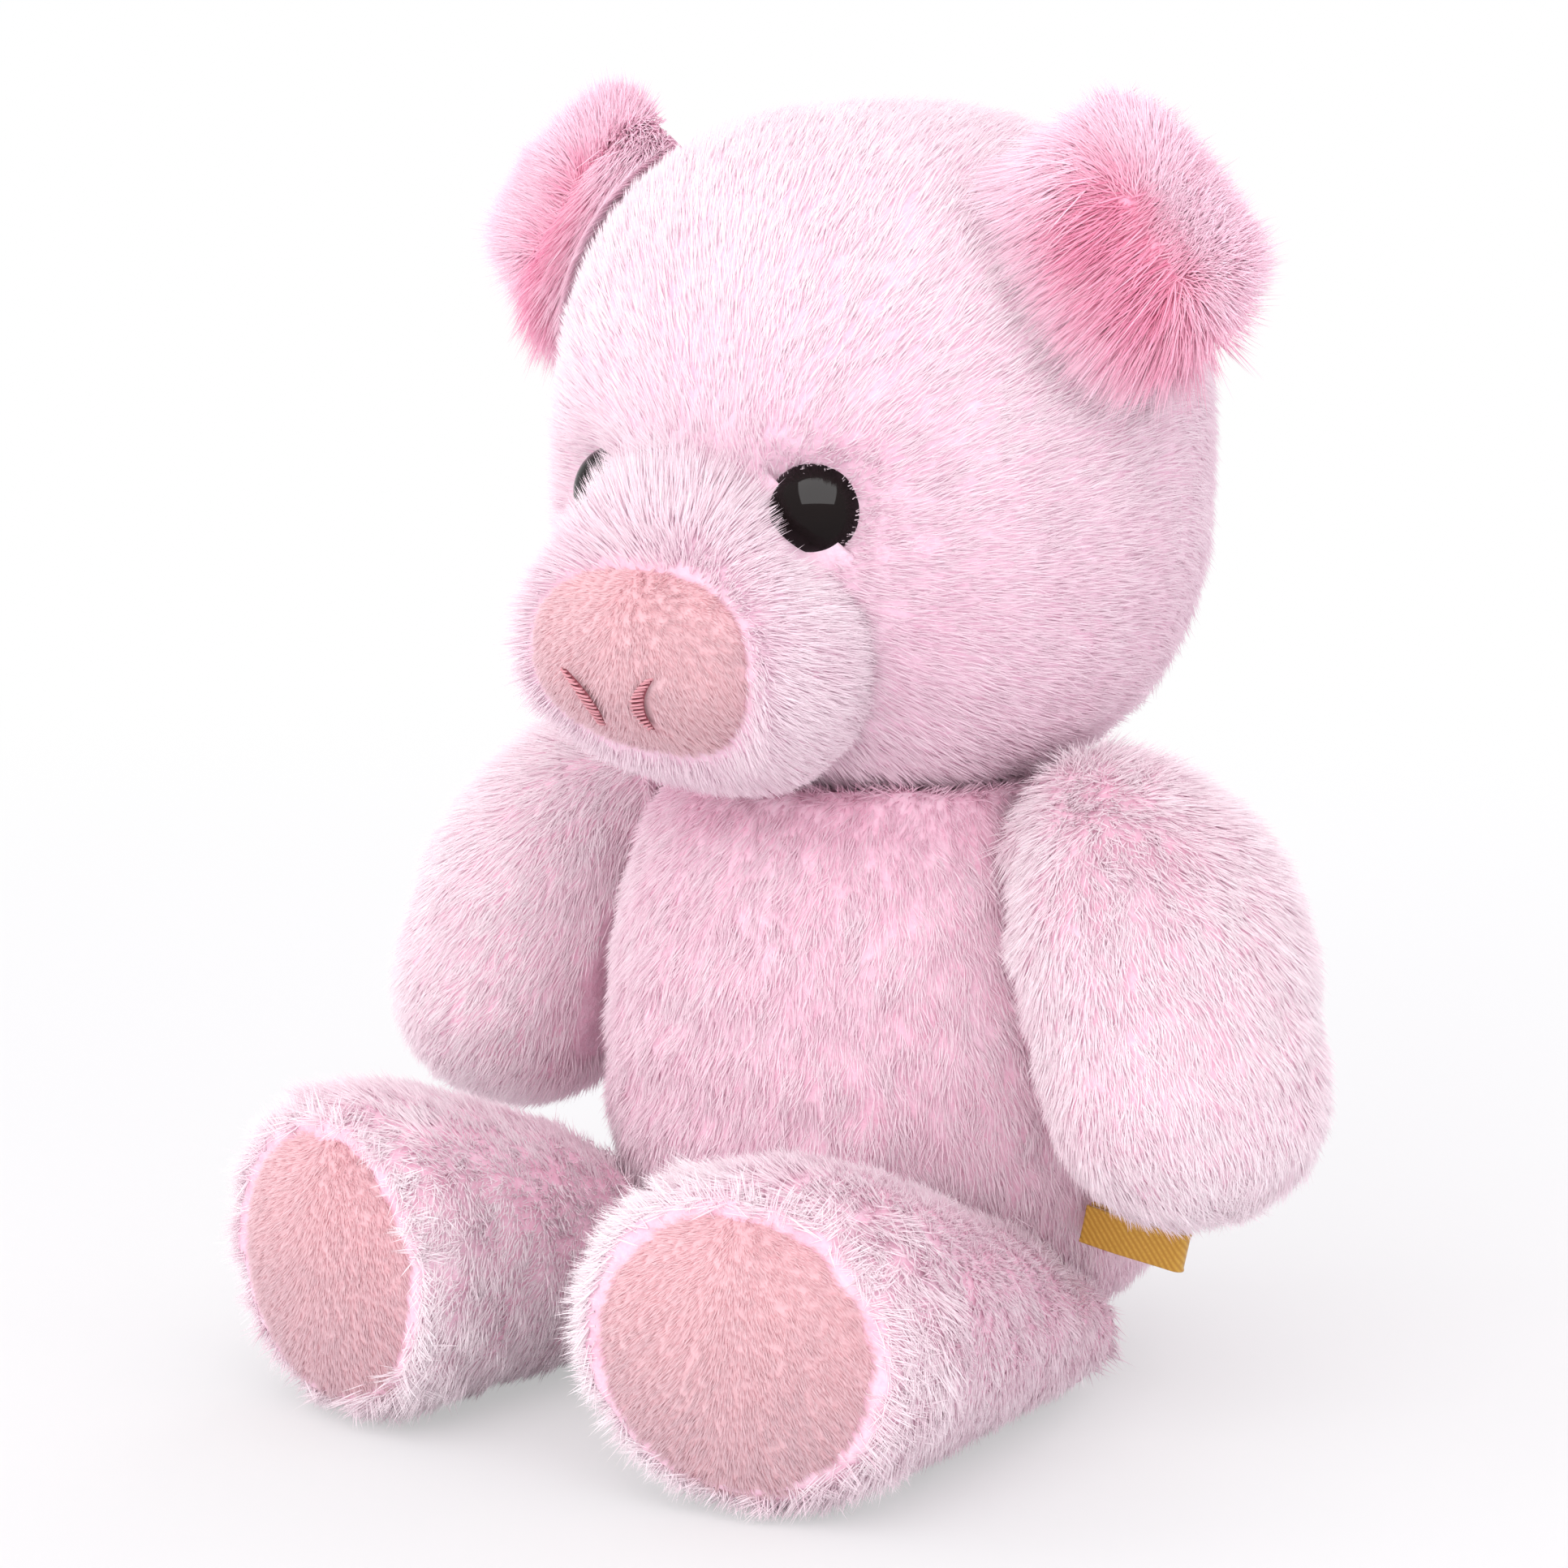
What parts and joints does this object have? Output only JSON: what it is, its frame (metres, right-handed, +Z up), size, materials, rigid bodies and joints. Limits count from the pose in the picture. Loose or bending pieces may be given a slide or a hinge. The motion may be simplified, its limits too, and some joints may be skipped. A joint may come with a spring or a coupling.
{
  "type": "plush pig",
  "caption": "Seated plush pig with a round head, short muzzle, folded rose ears, hanging arms, forward legs with flat soles, a curled tail and a ribbon tab.",
  "frame": {"origin": "centre of the flat seat, on the surface that the pig sits on", "axes": "+Z up, the pig faces -Y, its left is +X"},
  "size_m": [0.1816, 0.1726, 0.2113],
  "materials": {
    "pale_pile": "pale pink polyester pile, about 8 mm long, brushed downward",
    "muzzle_pile": "very pale pink polyester pile, brushed forward",
    "ear_pile": "rose pink polyester pile, about 13 mm long, brushed outward",
    "short_nap": "salmon pink short-nap velour",
    "thread": "satin stitch in dull rose polyester thread",
    "eye": "black moulded plastic, polished",
    "washer": "natural moulded plastic",
    "stuffing": "white polyester fibre",
    "pouch": "plain woven pouch of plastic pellets",
    "ribbon": "mustard twill ribbon with a selvedge"
  },
  "bodies": {
    "torso": {"torso_cover": "pale_pile", "torso_stuffing": "stuffing", "pellet_pouch": "pouch"},
    "head": {"head_cover": "pale_pile", "head_stuffing": "stuffing", "muzzle_cover": "muzzle_pile", "muzzle_stuffing": "stuffing", "nose_pad": "short_nap", "nostril_stitch_left": "thread", "nostril_stitch_right": "thread", "eye_left": "eye", "eye_right": "eye", "eye_washer_left": "washer", "eye_washer_right": "washer"},
    "ear_left": {"ear_left_front": "ear_pile", "ear_left_back": "ear_pile"},
    "ear_right": {"ear_right_front": "ear_pile", "ear_right_back": "ear_pile"},
    "arm_left": {"arm_cover_left": "pale_pile", "arm_stuffing_left": "stuffing"},
    "arm_right": {"arm_cover_right": "pale_pile", "arm_stuffing_right": "stuffing"},
    "leg_left": {"leg_cover_left": "pale_pile", "leg_stuffing_left": "stuffing", "foot_pad_left": "short_nap"},
    "leg_right": {"leg_cover_right": "pale_pile", "leg_stuffing_right": "stuffing", "foot_pad_right": "short_nap"},
    "tail": {"tail": "pale_pile"},
    "tab": {"side_tab": "ribbon"}
  },
  "joints": [
    {"name": "head_turn", "type": "hinge", "parent": "torso", "child": "head", "pos_m": [0, -0.008, 0.15], "axis": [0, 0, 1], "range_deg": [-25, 25], "stiffness_Nm_per_rad": 0.1},
    {"name": "ear_left_flop", "type": "hinge", "parent": "head", "child": "ear_left", "pos_m": [0.04364, -0.013, 0.18785], "axis": [0.5923, 0, -0.8057], "range_deg": [-20, 20], "stiffness_Nm_per_rad": 0.02},
    {"name": "ear_right_flop", "type": "hinge", "parent": "head", "child": "ear_right", "pos_m": [-0.04364, -0.013, 0.18785], "axis": [0.5923, 0, 0.8057], "range_deg": [-20, 20], "stiffness_Nm_per_rad": 0.02},
    {"name": "arm_left_swing", "type": "hinge", "parent": "torso", "child": "arm_left", "pos_m": [0.0365, -0.01, 0.0888], "axis": [-0.9455, 0, -0.3256], "range_deg": [-30, 35], "stiffness_Nm_per_rad": 0.06},
    {"name": "arm_right_swing", "type": "hinge", "parent": "torso", "child": "arm_right", "pos_m": [-0.0365, -0.01, 0.0888], "axis": [-0.9455, 0, 0.3256], "range_deg": [-30, 35], "stiffness_Nm_per_rad": 0.06},
    {"name": "leg_left_swing", "type": "hinge", "parent": "torso", "child": "leg_left", "pos_m": [0, 0, 0.0465], "axis": [-1, 0, 0], "range_deg": [-35, 12], "stiffness_Nm_per_rad": 0.15},
    {"name": "leg_right_swing", "type": "hinge", "parent": "torso", "child": "leg_right", "pos_m": [0, 0, 0.0465], "axis": [-1, 0, 0], "range_deg": [-35, 12], "stiffness_Nm_per_rad": 0.15},
    {"name": "tail_wag", "type": "hinge", "parent": "torso", "child": "tail", "pos_m": [0, 0.04967, 0.03], "axis": [0, 0, 1], "range_deg": [-15, 15], "stiffness_Nm_per_rad": 0.004},
    {"name": "tab_flap", "type": "hinge", "parent": "torso", "child": "tab", "pos_m": [0.0474, -0.0163, 0.031], "axis": [0, 0, 1], "range_deg": [-12, 12], "stiffness_Nm_per_rad": 0.002}
  ]
}
